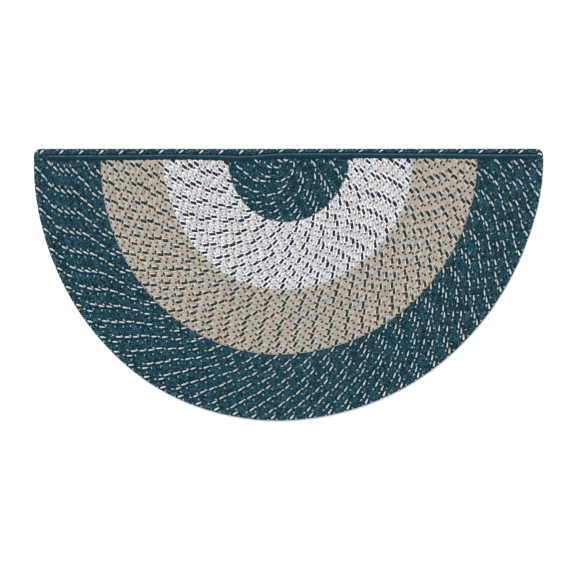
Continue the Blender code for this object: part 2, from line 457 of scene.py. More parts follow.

# Spun yarn: its plies, fibres and flecks, how many turns its plies may start apart, how much
# painted shade darkens the grooves between plies, what plies and fibres give to the bump, and
# the least that a fleck leaves of a colour
PLY_LENGTH = 0.0034
FIBRE_SIZE = 0.0009
FLECK_SIZE = 0.0026
PLY_STARTS = 5.0
PLY_GROOVE_SHADE = 0.12
PLY_BUMP = 0.7
FIBRE_BUMP = 0.6
DARKEST_FLECK = 0.25
FleckPattern = namedtuple("FleckPattern", "strength detail shift")
FLECK_PATTERNS = (
    FleckPattern("Fleck Shift", 2.0, 0.0),
    FleckPattern("Hue Shift", 0.0, 3.7),
)

# How much painted shade darkens the valleys between yarns, and how far flecks of colour stray
# in red, green and blue: first together, lighter or darker, then against one another
YarnLook = namedtuple("YarnLook", "valley fleck hue")
TEAL_LOOK = YarnLook(0.60, (17.5, 11.0, 9.6), (1.2, -0.7, -0.15))
YARN_LOOKS = {
    "teal": TEAL_LOOK,
    "edge": TEAL_LOOK,
    "ivory": YarnLook(0.20, (3.0, 3.0, 3.0), (2.0, 0.1, -2.0)),
    "tan": YarnLook(0.40, (4.0, 4.0, 4.0), (2.9, -0.5, -2.6)),
}

# Picture: its width on the floor, the camera's place, its sensor's width in millimetres, the
# floor's half side, and the light with its breadth in degrees
FRAME_WIDTH = 1.3725
VIEW_X = -0.0048
VIEW_Y = -0.0048
VIEW_HEIGHT = 4.0
SENSOR_WIDTH = 36.0
FLOOR_REACH = 6.0
WORLD_STRENGTH = 1.02
KEY_STRENGTH = 1.8
KEY_BREADTH = 22.0
KEY_FROM = (-0.22, 0.70, 1.0)

# Which band each body replaces, its slot and yarns, and the pieces that its stitches make
BandPieces = namedtuple("BandPieces", "band slot colouring pieces")
BANDS = (
    BandPieces("core_band", "core_braid", "teal", ("core_stitches",)),
    BandPieces("ivory_band", "ivory_braid", "ivory", ("ivory_stitches",)),
    BandPieces("tan_band", "tan_braid", "tan", ("tan_inner_stitches", "tan_outer_stitches")),
    BandPieces("rim_band", "rim_braid", "teal", ("rim_inner_stitches", "rim_outer_stitches")),
)


def reach_of(column, angles):
    """Reach of a band or of the rug at angles in radians, on a smooth curve through the table."""
    values = np.array([getattr(row, column) for row in REACH_TABLE]) / 1000.0
    step = REACH_TABLE[1].angle - REACH_TABLE[0].angle
    place = np.clip(np.degrees(angles) / step, 0.0, len(values) - 1.0)
    index = np.minimum(place.astype(int), len(values) - 2)
    t = place - index
    here = values[index]
    there = values[index + 1]
    before = values[np.maximum(index - 1, 0)]
    after = values[np.minimum(index + 2, len(values) - 1)]
    return (
        here * (2 * t ** 3 - 3 * t ** 2 + 1)
        + there * (3 * t ** 2 - 2 * t ** 3)
        + (there - before) / 2.0 * (t ** 3 - 2 * t ** 2 + t)
        + (after - here) / 2.0 * (t ** 3 - t ** 2)
    )


def binding_line(x):
    """Y of the binding's middle line at each x, with an eased run between the table's knots."""
    xs = np.array([knot.x for knot in BINDING_TABLE]) / 1000.0
    depths = np.array([knot.depth for knot in BINDING_TABLE]) / 1000.0
    x = np.clip(x, xs[0], xs[-1])
    index = np.clip(np.searchsorted(xs, x, side="right") - 1, 0, len(xs) - 2)
    share = (x - xs[index]) / (xs[index + 1] - xs[index])
    eased = (1.0 - np.cos(math.pi * share)) / 2.0
    return BACK_Y - depths[index] - (depths[index + 1] - depths[index]) * eased


def row_end_line(x, corner_gap=CORNER_ROW_GAP):
    """Y at which the rows end: at the binding or, left of its end, at the edge braid."""
    if x < BINDING_LEFT_X:
        return BACK_Y - EDGE_BRAID_WIDTH - GAP - corner_gap
    return float(binding_line(x)) - BINDING_WIDTH / 2.0 - GAP


def arc_points(reach, angles):
    """Plan points at a reach and angles round the centre of the coil."""
    return np.stack([CENTRE_X + reach * np.cos(angles), CENTRE_Y - reach * np.sin(angles)], 1)


def band_sides(band, angles):
    """Plan points of a band's inner and outer side at each angle."""
    bands = list(BAND_PLANS)
    place = bands.index(band)
    if place == 0:
        eye = np.array([CENTRE_X + EYE_OFFSET[0], CENTRE_Y + EYE_OFFSET[1]])
        inner = np.repeat(eye[None, :], len(angles), axis=0)
    else:
        inner = arc_points(reach_of(bands[place - 1], angles) + GAP, angles)
    if band == "rim_band":
        outer = arc_points(reach_of("rug", angles) - EDGE_BRAID_WIDTH - GAP, angles)
    else:
        outer = arc_points(reach_of(band, angles), angles)
    return inner, outer


def row_shares(band, row):
    """Share across the band of a row's inner side, and the row's width as such a share."""
    rows = len(BAND_PLANS[band])
    return row / rows, 1.0 / rows


# A row's line as a dense run of plan points, the vector across the row at each, and how many
# repeats of the braid lie from the middle of the front to each point
RowLine = namedtuple("RowLine", "points across repeats")


def run_of_lengths(points):
    """Distance along a line of points to each of them."""
    steps = np.linalg.norm(np.diff(points, axis=0), axis=1)
    return np.concatenate([[0.0], np.cumsum(steps)])


def row_line(band, row):
    """One row of a band, from above its right-hand end round the front to above the left."""
    plan = BAND_PLANS[band][row]
    angles = np.linspace(0.0, math.pi, ARC_STEPS + 1)
    inner, outer = band_sides(band, angles)
    start, width = row_shares(band, row)
    middle = inner + (start + width / 2.0) * (outer - inner)
    stitched = inner + (start + width * (0.5 + LEAD_MIDDLE)) * (outer - inner)
    across = width * (outer - inner)
    lifts = []
    for end in (0, -1):
        top = row_end_line(middle[end, 0]) + ROW_OVERRUN
        lifts.append(np.array([0.0, top - middle[end, 1]]))
    points = np.concatenate([[middle[0] + lifts[0]], middle, [middle[-1] + lifts[1]]])
    sides = np.array([[np.linalg.norm(across[0]), 0.0], [-np.linalg.norm(across[-1]), 0.0]])
    across = np.concatenate([sides[:1], across, sides[1:]])
    stretch = 1.0 + REPEAT_STRETCH * np.cos(2.0 * angles)
    steps = np.linalg.norm(np.diff(stitched, axis=0), axis=1)
    repeat = plan.repeat / 1000.0
    counts = steps / (repeat * (stretch[1:] + stretch[:-1]) / 2.0)
    ends = [lift[1] / (repeat * (1.0 + REPEAT_STRETCH)) for lift in lifts]
    repeats = np.concatenate([[0.0], np.cumsum([ends[0], *counts, ends[1]])])
    repeats -= np.interp(math.pi / 2.0, angles, repeats[1:-1])
    return RowLine(points, across, repeats)


def corner_sides(pivot_x, first_angle):
    """Plan points of the edge braid's outer and inner side round a corner."""
    turn = first_angle - np.linspace(0.0, math.pi / 2.0, CORNER_POINTS)
    facing = np.stack([np.cos(turn), np.sin(turn)], 1)
    pivot = np.array([pivot_x, BACK_Y - CORNER_RADIUS])
    return pivot + CORNER_RADIUS * facing, pivot + (CORNER_RADIUS - EDGE_BRAID_WIDTH) * facing


def edge_sides(angles, xs):
    """The edge braid's two sides, closed: round the front, then left to right along the back."""
    reach = reach_of("rug", angles)
    binding_side = binding_line(xs) + BINDING_WIDTH / 2.0 + GAP
    stretches = (
        (arc_points(reach, angles), arc_points(reach - EDGE_BRAID_WIDTH, angles)),
        corner_sides(LEFT_X + CORNER_RADIUS, math.pi),
        (
            np.stack([xs, np.full_like(xs, BACK_Y)], 1),
            np.stack([xs, np.maximum(binding_side, BACK_Y - EDGE_BRAID_WIDTH)], 1),
        ),
        corner_sides(RIGHT_X - CORNER_RADIUS, math.pi / 2.0),
    )
    sides = [np.concatenate(side) for side in zip(*stretches)]
    return [np.concatenate([side, side[:1]]) for side in sides]


def edge_line():
    """The edge braid's closed line, and how many repeats go round it."""
    angles = np.linspace(0.0, math.pi, ARC_STEPS + 1)
    xs = np.linspace(LEFT_X + CORNER_RADIUS, RIGHT_X - CORNER_RADIUS, ARC_STEPS)[1:-1]
    outer, inner = edge_sides(angles, xs)
    middle = (outer + inner) / 2.0
    lengths = run_of_lengths(middle)

    # Round the front the repeats stretch as those of the rows do
    plan = EDGE_BRAID_PLAN
    repeat = plan.repeat / 1000.0
    local = repeat * (1.0 + REPEAT_STRETCH * np.cos(2.0 * angles))
    steps = np.diff(lengths[:len(angles)]) / ((local[1:] + local[:-1]) / 2.0)
    arc = np.concatenate([[0.0], np.cumsum(steps)])
    arc -= np.interp(math.pi / 2.0, angles, arc)

    # Along the straight edge they are even, and one accent stands at its measured place
    straight = len(angles) + CORNER_POINTS
    last = straight + len(xs) - 1
    start = arc[-1] + (lengths[straight] - lengths[len(angles) - 1]) / repeat
    offset = (STRAIGHT_ACCENT_X - xs[0]) / STRAIGHT_REPEAT
    start = plan.phase - offset + round(start + offset - plan.phase)
    run = start + (lengths[straight:last + 1] - lengths[straight]) / STRAIGHT_REPEAT

    # The corners take up the rest, so that whole repeats go round
    count = round(run[-1] + (lengths[-1] - lengths[last]) / repeat - arc[0])
    known = np.concatenate([lengths[:len(angles)], lengths[straight:last + 1], lengths[-1:]])
    repeats = np.interp(lengths, known, np.concatenate([arc, run, [arc[0] + count]]))
    return RowLine(middle, outer - inner, repeats), count


def plain_mesh(name, vertices, faces):
    """A mesh of these vertices and faces, shaded smooth."""
    mesh = bpy.data.meshes.new(name)
    mesh.from_pydata([tuple(v) for v in vertices], [], faces)
    mesh.shade_smooth()
    return mesh


def link_object(name, mesh):
    """An object for a mesh, at the origin."""
    item = bpy.data.objects.new(name, mesh)
    bpy.context.scene.collection.objects.link(item)
    return item


def set_attribute(mesh, name, kind, values):
    """Give a mesh a named attribute from a value for each of its points."""
    attribute = mesh.attributes.new(name, kind, "POINT")
    key = {"FLOAT_VECTOR": "vector", "FLOAT_COLOR": "color"}.get(kind, "value")
    dtype = np.int32 if kind == "INT" else np.float32
    attribute.data.foreach_set(key, np.asarray(values, dtype).ravel())


def set_map(mesh, name, places):
    """Give a mesh a UV map from a place for each of its points."""
    layer = mesh.uv_layers.new(name=name)
    corners = np.zeros(len(mesh.loops), np.int32)
    mesh.loops.foreach_get("vertex_index", corners)
    layer.uv.foreach_set("vector", np.asarray(places, np.float32)[corners].ravel())


class RepeatShape:
    """Gathers the stitches of one repeat of braid, each a closed bar of yarn."""

    def __init__(self, repeat, width):
        self.scale = np.array([repeat, width, BRAID_THICKNESS])
        self.vertices = []
        self.faces = []
        self.middles = []
        self.numbers = []
        self.colours = []
        self.maps = []
        self.crowns = []
        self.stitches = 0

    def facing(self, point):
        """Outward direction of the braid's rounded section at a point of it."""
        across = 2.0 * point[1]
        up = 2.0 * point[2] - 1.0
        slope = np.array([0.0, across ** 3 / self.scale[1], up ** 3 / self.scale[2]])
        return slope / np.linalg.norm(slope)

    def turned_under(self, places, facings):
        """A stitch's places and facings on the underside, short of the row's sides."""
        side = UNDER_SIDE * self.scale[1]
        places[:, 1] = np.clip(places[:, 1], -side, side)
        places[:, 2] = np.minimum(places[:, 2], self.scale[2] - LOOSENESS[2])
        turn = (1.0, -1.0, -1.0)
        return places * turn + (0.0, 0.0, self.scale[2]), facings * turn

    def add_ring(self, place, facing, tangent, girth, length, turns):
        """Add the points round a stitch at one of its knots."""
        side = np.cross(tangent, facing)
        side /= np.linalg.norm(side)
        rise = min(YARN_RISE, girth * 0.5)
        for turn in turns:
            offset = side * math.sin(turn) * girth / 2.0 + facing * (math.cos(turn) - 1.0) * rise
            self.vertices.append((place + offset) / (self.scale[0], self.scale[1], 1.0))
            self.maps.append((length, turn / math.pi + 0.5))
            self.crowns.append(math.cos(turn))

    def add_skin(self, first, rings, ring):
        """Add the faces over a stitch's rings of points, and a cap on each of its ends."""
        for step in range(rings - 1):
            start = first + step * ring
            for k in range(ring):
                j = (k + 1) % ring
                self.faces.append((start + k, start + j, start + ring + j, start + ring + k))
        last = first + (rings - 1) * ring
        self.faces.append(tuple(reversed(range(first, first + ring))))
        self.faces.append(tuple(range(last, last + ring)))

    def add(self, knots, along, across, colour, stray, yarn, facets, under=False):
        """Add a stitch with its middle at a place of the repeat."""
        places = np.array([(along + k.along, across + k.across, k.height) for k in knots])
        facings = np.array([self.facing(p) for p in places])
        places = places * self.scale
        if under:
            places, facings = self.turned_under(places, facings)
        tangents = np.gradient(places, axis=0)
        lengths = run_of_lengths(places)
        turns = np.linspace(-math.pi / 2.0, math.pi / 2.0, facets + 1)
        first = len(self.vertices)
        for k, knot in enumerate(knots):
            girth = knot.girth * yarn
            self.add_ring(places[k], facings[k], tangents[k], girth, lengths[k], turns)
        self.add_skin(first, len(knots), len(turns))
        count = len(knots) * len(turns)
        self.middles += [along] * count
        self.numbers += [self.stitches] * count
        self.colours += [(*colour, stray)] * count
        self.stitches += 1

    def finish(self, name):
        """The repeat as an object whose attributes hold each point's place in the braid."""
        mesh = plain_mesh(name, self.vertices, self.faces)
        set_attribute(mesh, "place", "FLOAT_VECTOR", self.vertices)
        set_attribute(mesh, "stitch_middle", "FLOAT", self.middles)
        set_attribute(mesh, "stitch_number", "INT", self.numbers)
        set_attribute(mesh, "yarn_colour", "FLOAT_COLOR", self.colours)
        set_attribute(mesh, "crown", "FLOAT", self.crowns)
        set_map(mesh, "yarn", self.maps)
        return link_object(name, mesh)


def wrapped(along):
    """A place along the repeat, brought to within half a repeat of its middle."""
    return (along + 0.5) % 1.0 - 0.5


def lead_yarn(colouring, number):
    """A lead's knots, colour, stray and yarn width, by its number in the repeat."""
    if number == 0:
        return colouring.form, colouring.accent, ACCENT_STRAY, YARN_WIDTH * colouring.size
    if number in (1, LEADS_PER_REPEAT - 1):
        return LEAD_KNOTS, colouring.beside, colouring.stray / 2.0, YARN_WIDTH
    colour = colouring.returns if number % 2 else colouring.ground
    return LEAD_KNOTS, colour, colouring.stray, YARN_WIDTH


def thinned(knots):
    """Every other knot of a stitch, and its last one, for the underside."""
    return knots[:-1:2] + knots[-1:]


def make_repeat(name, colouring, repeat, width, return_knots):
    """One repeat of the braid: leads slant across its top, returns come back at its edge."""
    shape = RepeatShape(repeat, width)
    for under in (False, True):
        facets = UNDER_FACETS if under else TOP_FACETS
        shift = UNDER_PHASE if under else 0.0
        for i in range(LEADS_PER_REPEAT):
            knots, colour, stray, yarn = lead_yarn(colouring, i)
            knots = thinned(knots) if under else knots
            along = wrapped(i / LEADS_PER_REPEAT + shift)
            shape.add(knots, along, 0.0, colour, stray, yarn, facets, under)
        knots = thinned(return_knots) if under else return_knots
        colour = colouring.returns
        for i in range(RETURNS_PER_REPEAT):
            along = wrapped(RETURN_LAG + i / RETURNS_PER_REPEAT + shift)
            shape.add(
                knots, along, 0.0, colour, colouring.stray, RETURN_YARN_WIDTH, facets, under
            )
    for peek in colouring.peeks:
        yarn = RETURN_YARN_WIDTH * peek.size
        along = wrapped(peek.along)
        shape.add(peek.knots, along, peek.across, peek.colour, ACCENT_STRAY, yarn, TOP_FACETS)
    return shape.finish(name)


def row_samples(line, first, last):
    """Points and across vectors of a row's line at even steps of its repeat."""
    steps = np.arange(round((last - first) * STEPS_PER_REPEAT) + 1)
    at = first + steps / STEPS_PER_REPEAT
    points = np.stack([np.interp(at, line.repeats, line.points[:, k]) for k in (0, 1)], 1)
    across = np.stack([np.interp(at, line.repeats, line.across[:, k]) for k in (0, 1)], 1)
    return points, across


class RowSet:
    """Gathers the lines of several rows and, for every repeat along them, its first step, its
    place and how many repeats it lies from the row's two ends."""

    def __init__(self):
        self.points = []
        self.across = []
        self.starts = []
        self.limits = []
        self.places = []

    def add(self, line, phase, low, high):
        """Add a row whose stitches lie between two counts of its repeats."""
        first = math.floor(low - phase) - 1
        last = math.ceil(high - phase) + 1
        base = first + phase - SPARE_REPEATS
        points, across = row_samples(line, base, last + phase + SPARE_REPEATS)
        offset = sum(len(p) for p in self.points)
        for number in range(first, last + 1):
            here = number + phase
            self.starts.append(offset + round((here - base) * STEPS_PER_REPEAT))
            self.limits.append((low - here, high - here))
            self.places.append(points[round((here - base) * STEPS_PER_REPEAT)])
        self.points.append(points)
        self.across.append(across)

    def add_loop(self, line, phase, count):
        """Add a closed row of so many repeats."""
        turns = [line.repeats[:-1] + count * k for k in (-1, 0, 1)]
        points = np.concatenate([line.points[:-1]] * 3)
        across = np.concatenate([line.across[:-1]] * 3)
        endless = RowLine(points, across, np.concatenate(turns))
        first = math.floor(line.repeats[0] - phase)
        base = first + phase - SPARE_REPEATS
        points, across = row_samples(endless, base, base + count + 2 * SPARE_REPEATS + 1)
        offset = sum(len(p) for p in self.points)
        for number in range(count):
            step = (number + SPARE_REPEATS) * STEPS_PER_REPEAT
            self.starts.append(offset + step)
            self.limits.append((-NO_LIMIT, NO_LIMIT))
            self.places.append(points[step])
        self.points.append(points)
        self.across.append(across)

    def line_object(self, name):
        """The rows' lines as points that carry the vector across the row."""
        points = np.concatenate(self.points)
        across = np.concatenate(self.across)
        flat = np.zeros((len(points), 1))
        mesh = plain_mesh(name, np.hstack([points, flat]), [])
        set_attribute(mesh, "across", "FLOAT_VECTOR", np.hstack([across, flat]))
        return link_object(name, mesh)

    def repeat_object(self, name):
        """A point for every repeat, with the number of its first step along the lines."""
        places = np.array(self.places)
        mesh = plain_mesh(name, np.hstack([places, np.zeros((len(places), 1))]), [])
        limits = np.array(self.limits)
        set_attribute(mesh, "first_step", "INT", self.starts)
        set_attribute(mesh, "low_limit", "FLOAT", limits[:, 0])
        set_attribute(mesh, "high_limit", "FLOAT", limits[:, 1])
        set_attribute(mesh, "repeat_number", "INT", range(len(places)))
        return link_object(name, mesh)


def add_node(tree, kind, inputs=(), **settings):
    """Add a node, set its properties, and link or fill its inputs."""
    node = tree.nodes.new(kind)
    for name, value in settings.items():
        setattr(node, name, value)
    for key, value in dict(inputs).items():
        socket = node.inputs[key]
        if isinstance(value, bpy.types.NodeSocket):
            tree.links.new(value, socket)
        else:
            socket.default_value = value
    return node


def math_node(tree, operation, *values):
    """The result of a sum on numbers."""
    node = add_node(tree, "ShaderNodeMath", enumerate(values), operation=operation)
    return node.outputs[0]


def vector_node(tree, operation, *values):
    """The result of a sum on vectors or colours."""
    node = add_node(tree, "ShaderNodeVectorMath", enumerate(values), operation=operation)
    return node.outputs[0]


def scaled(tree, vector, factor):
    """A colour or vector times a number."""
    node = add_node(tree, "ShaderNodeVectorMath", {0: vector, "Scale": factor}, operation="SCALE")
    return node.outputs[0]


def output_in_use(node):
    """The output that goes with a node's kind of data."""
    return next(socket for socket in node.outputs if socket.enabled)


def mixed(tree, share, first, second):
    """Two vectors or colours mixed by a share, from all the first at 0 to all the second at 1."""
    node = add_node(tree, "ShaderNodeMix", data_type="VECTOR")
    ends = [socket for socket in node.inputs if socket.enabled and socket.name in ("A", "B")]
    tree.links.new(share, node.inputs["Factor"])
    tree.links.new(first, ends[0])
    tree.links.new(second, ends[1])
    return output_in_use(node)


def named(tree, kind, name):
    """A named attribute's value."""
    node = add_node(tree, "GeometryNodeInputNamedAttribute", {"Name": name}, data_type=kind)
    return output_in_use(node)


def new_tree(name, sockets):
    """A geometry node group with these inputs and one geometry output."""
    tree = bpy.data.node_groups.new(name, "GeometryNodeTree")
    for label, kind in sockets:
        tree.interface.new_socket(name=label, in_out="INPUT", socket_type=kind)
    tree.interface.new_socket(name="Geometry", in_out="OUTPUT", socket_type="NodeSocketGeometry")
    return tree


def laid_stitches(tree, given):
    """A repeat's stitches at every point, without those past the row's ends."""
    repeat = add_node(tree, "GeometryNodeObjectInfo", {"Object": given["Repeat"]})
    laid = add_node(
        tree,
        "GeometryNodeInstanceOnPoints",
        {"Points": given["Geometry"], "Instance": repeat.outputs["Geometry"]},
    )
    loose = add_node(tree, "GeometryNodeRealizeInstances", {"Geometry": laid.outputs["Instances"]})
    middle = named(tree, "FLOAT", "stitch_middle")
    below = math_node(tree, "LESS_THAN", middle, named(tree, "FLOAT", "low_limit"))
    above = math_node(tree, "GREATER_THAN", middle, named(tree, "FLOAT", "high_limit"))
    outside = math_node(tree, "MAXIMUM", below, above)
    kept = add_node(
        tree,
        "GeometryNodeDeleteGeometry",
        {"Geometry": loose.outputs["Geometry"], "Selection": outside},
        domain="POINT",
    )
    return kept.outputs["Geometry"]


def stitch_in_rows(tree):
    """A number of its own for every stitch of the rows."""
    return math_node(
        tree,
        "MULTIPLY_ADD",
        named(tree, "INT", "repeat_number"),
        NUMBERS_PER_REPEAT,
        named(tree, "INT", "stitch_number"),
    )


def wandering_place(tree, given, number):
    """A point's place in the braid, moved at random with the rest of its stitch."""
    limit = given["Looseness"]
    wander = add_node(
        tree,
        "FunctionNodeRandomValue",
        {"Min": scaled(tree, limit, -1.0), "Max": limit, "ID": number, "Seed": given["Seed"]},
        data_type="FLOAT_VECTOR",
    )
    return vector_node(tree, "ADD", named(tree, "FLOAT_VECTOR", "place"), wander.outputs["Value"])


def along_lines(tree, lines, step, field):
    """A field of the rows' lines at a step that may lie between two of their points."""
    whole = math_node(tree, "FLOOR", step)
    share = math_node(tree, "SUBTRACT", step, whole)
    ends = []
    for index in (whole, math_node(tree, "ADD", whole, 1.0)):
        sample = add_node(
            tree,
            "GeometryNodeSampleIndex",
            {"Geometry": lines, "Value": field, "Index": index},
            data_type="FLOAT_VECTOR",
            domain="POINT",
            clamp=True,
        )
        ends.append(sample.outputs[0])
    return mixed(tree, share, *ends)


def braiding_tree():
    """Lays one repeat of braid at every point and bends it along the rows' lines."""
    tree = new_tree(
        "lay braid along rows",
        (
            ("Geometry", "NodeSocketGeometry"),
            ("Row Lines", "NodeSocketObject"),
            ("Repeat", "NodeSocketObject"),
            ("Steps Per Repeat", "NodeSocketFloat"),
            ("Looseness", "NodeSocketVector"),
            ("Seed", "NodeSocketInt"),
            ("Finish", "NodeSocketMaterial"),
        ),
    )
    given = tree.nodes.new("NodeGroupInput").outputs
    info = add_node(tree, "GeometryNodeObjectInfo", {"Object": given["Row Lines"]})
    lines = info.outputs["Geometry"]
    stitches = laid_stitches(tree, given)
    number = stitch_in_rows(tree)
    place = wandering_place(tree, given, number)
    parts = add_node(tree, "ShaderNodeSeparateXYZ", {0: place}).outputs

    first_step = named(tree, "INT", "first_step")
    step = math_node(tree, "MULTIPLY_ADD", parts["X"], given["Steps Per Repeat"], first_step)
    position = add_node(tree, "GeometryNodeInputPosition").outputs[0]
    spot = along_lines(tree, lines, step, position)
    across = along_lines(tree, lines, step, named(tree, "FLOAT_VECTOR", "across"))
    height = add_node(tree, "ShaderNodeCombineXYZ", {"Z": parts["Z"]}).outputs[0]
    plan = vector_node(tree, "ADD", spot, scaled(tree, across, parts["Y"]))
    bent = vector_node(tree, "ADD", plan, height)
    moved = add_node(tree, "GeometryNodeSetPosition", {"Geometry": stitches, "Position": bent})

    seed = math_node(tree, "ADD", given["Seed"], SHADE_SEED_STEP)
    chance = add_node(
        tree, "FunctionNodeRandomValue", {"ID": number, "Seed": seed}, data_type="FLOAT"
    )
    shaded = add_node(
        tree,
        "GeometryNodeStoreNamedAttribute",
        {"Geometry": moved.outputs["Geometry"], "Name": "shade", "Value": output_in_use(chance)},
        data_type="FLOAT",
        domain="POINT",
    )
    painted = add_node(
        tree,
        "GeometryNodeSetMaterial",
        {"Geometry": shaded.outputs["Geometry"], "Material": given["Finish"]},
    )
    out = tree.nodes.new("NodeGroupOutput")
    tree.links.new(painted.outputs["Geometry"], out.inputs["Geometry"])
    return tree


def socket_key(tree, label):
    """Identifier of a tree's input."""
    items = tree.interface.items_tree
    return next(s.identifier for s in items if s.name == label and s.in_out == "INPUT")


def baked(item):
    """Turn an object's evaluated shape into its own plain mesh."""
    graph = bpy.context.evaluated_depsgraph_get()
    mesh = bpy.data.meshes.new_from_object(
        item.evaluated_get(graph), preserve_all_data_layers=True, depsgraph=graph
    )
    item.modifiers.clear()
    item.data = mesh
    return item


def lay_braid(name, rows, repeat, finish, seed):
    """A piece of braid: the repeat laid along the rows."""
    item = rows.repeat_object(name)
    lines = rows.line_object(name + "_lines")
    modifier = item.modifiers.new("braid", "NODES")
    modifier.node_group = BRAIDING
    settings = {
        "Row Lines": lines,
        "Repeat": repeat,
        "Steps Per Repeat": float(STEPS_PER_REPEAT),
        "Looseness": LOOSENESS,
        "Seed": seed,
        "Finish": finish,
    }
    for label, value in settings.items():
        modifier[socket_key(BRAIDING, label)] = value
    item.update_tag()
    baked(item)
    for spent in SPENT_ATTRIBUTES:
        attribute = item.data.attributes.get(spent)
        if attribute:
            item.data.attributes.remove(attribute)
    bpy.data.objects.remove(lines)
    return item


# Materials


def new_material(name, surface):
    """A material with a Principled shader, and its node tree and shader."""
    material = bpy.data.materials.new(name)
    material.use_nodes = True
    tree = material.node_tree
    shader = tree.nodes["Principled BSDF"]
    shader.inputs["Roughness"].default_value = surface.roughness
    shader.inputs["Specular IOR Level"].default_value = surface.gloss
    return material, tree, shader


def shader_group(name, sockets_in, sockets_out):
    """A shader node group with named inputs and outputs."""
    group = bpy.data.node_groups.new(name, "ShaderNodeTree")
    for label, kind, value in sockets_in:
        socket = group.interface.new_socket(name=label, in_out="INPUT", socket_type=kind)
        socket.default_value = value
    for label, kind in sockets_out:
        group.interface.new_socket(name=label, in_out="OUTPUT", socket_type=kind)
    return group


def about_one(tree, value, reach):
    """A value from 0 to 1 turned into a factor that strays from 1 by a reach at most."""
    spread = math_node(tree, "MULTIPLY_ADD", value, 2.0, -1.0)
    return math_node(tree, "MULTIPLY_ADD", spread, reach, 1.0)


def object_noise(tree, size, detail=2.0, shift=0.0):
    """Noise through the object's own space, with features of about this size in metres."""
    where = add_node(tree, "ShaderNodeTexCoord").outputs["Object"]
    if shift:
        where = vector_node(tree, "ADD", where, (shift, shift, shift))
    inputs = {"Vector": where, "Scale": 1.0, "Detail": detail}
    node = add_node(tree, "ShaderNodeTexNoise", inputs)
    if isinstance(size, bpy.types.NodeSocket):
        tree.links.new(math_node(tree, "DIVIDE", 1.0, size), node.inputs["Scale"])
    else:
        node.inputs["Scale"].default_value = 1.0 / size
    return node.outputs[0]


def flecked(group, given, tint):
    """A colour strewn with lighter and darker flecks, and with flecks of other hues."""
    for pattern in FLECK_PATTERNS:
        noise = object_noise(group, given["Fleck Size"], pattern.detail, pattern.shift)
        spread = math_node(group, "MULTIPLY_ADD", noise, 2.0, -1.0)
        reach = math_node(group, "MULTIPLY", spread, given["Stray"])
        factor = vector_node(
            group, "ADD", scaled(group, given[pattern.strength], reach), (1.0, 1.0, 1.0)
        )
        factor = vector_node(group, "MAXIMUM", factor, (DARKEST_FLECK,) * 3)
        tint = vector_node(group, "MULTIPLY", tint, factor)
    return tint


def spun_yarn_group():
    """Plies and fibres of a spun yarn: its colour, with painted shade in its grooves and valleys,
    and its bump height.
    """
    group = shader_group(
        "spun yarn",
        (
            ("Colour", "NodeSocketColor", (0.5, 0.5, 0.5, 1.0)),
            ("Stray", "NodeSocketFloat", 0.0),
            ("Shade", "NodeSocketFloat", 0.5),
            ("Crown", "NodeSocketFloat", 1.0),
            ("Valley Shade", "NodeSocketFloat", 0.0),
            ("Ply Length", "NodeSocketFloat", PLY_LENGTH),
            ("Fibre Size", "NodeSocketFloat", FIBRE_SIZE),
            ("Fleck Size", "NodeSocketFloat", FLECK_SIZE),
            ("Fleck Shift", "NodeSocketVector", (0.0, 0.0, 0.0)),
            ("Hue Shift", "NodeSocketVector", (0.0, 0.0, 0.0)),
        ),
        (("Colour", "NodeSocketColor"), ("Height", "NodeSocketFloat")),
    )
    given = group.nodes.new("NodeGroupInput").outputs
    uv = add_node(group, "ShaderNodeUVMap", uv_map="yarn")
    parts = add_node(group, "ShaderNodeSeparateXYZ", {0: uv.outputs[0]})
    turns = math_node(group, "DIVIDE", parts.outputs["X"], given["Ply Length"])
    turns = math_node(group, "ADD", turns, parts.outputs["Y"])
    turns = math_node(group, "MULTIPLY_ADD", given["Shade"], PLY_STARTS, turns)
    wave = math_node(group, "SINE", math_node(group, "MULTIPLY", turns, 2.0 * math.pi))
    ply = math_node(group, "MULTIPLY_ADD", wave, 0.5, 0.5)
    fibre = object_noise(group, given["Fibre Size"])

    own = about_one(group, given["Shade"], given["Stray"])
    # Painted shade: the colour darkens in the grooves between the plies
    groove_shade = math_node(group, "MULTIPLY_ADD", ply, PLY_GROOVE_SHADE, 1.0 - PLY_GROOVE_SHADE / 2.0)
    # Painted shade: the colour darkens away from each yarn's crown, into the valleys between yarns
    dip = math_node(group, "SUBTRACT", 1.0, given["Crown"])
    valley = math_node(group, "MULTIPLY", dip, given["Valley Shade"])
    value = math_node(group, "MULTIPLY", own, groove_shade)
    value = math_node(group, "MULTIPLY", value, math_node(group, "SUBTRACT", 1.0, valley))
    tint = flecked(group, given, scaled(group, given["Colour"], value))
    height = math_node(group, "MULTIPLY", ply, PLY_BUMP)
    height = math_node(group, "MULTIPLY_ADD", fibre, FIBRE_BUMP, height)
    out = group.nodes.new("NodeGroupOutput")
    group.links.new(tint, out.inputs["Colour"])
    group.links.new(height, out.inputs["Height"])
    return group


def use_bump(tree, shader, height, surface):
    """Roughen a shader's surface by a height."""
    inputs = {"Height": height, "Strength": surface.bump, "Distance": surface.depth}
    bump = add_node(tree, "ShaderNodeBump", inputs)
    tree.links.new(bump.outputs["Normal"], shader.inputs["Normal"])


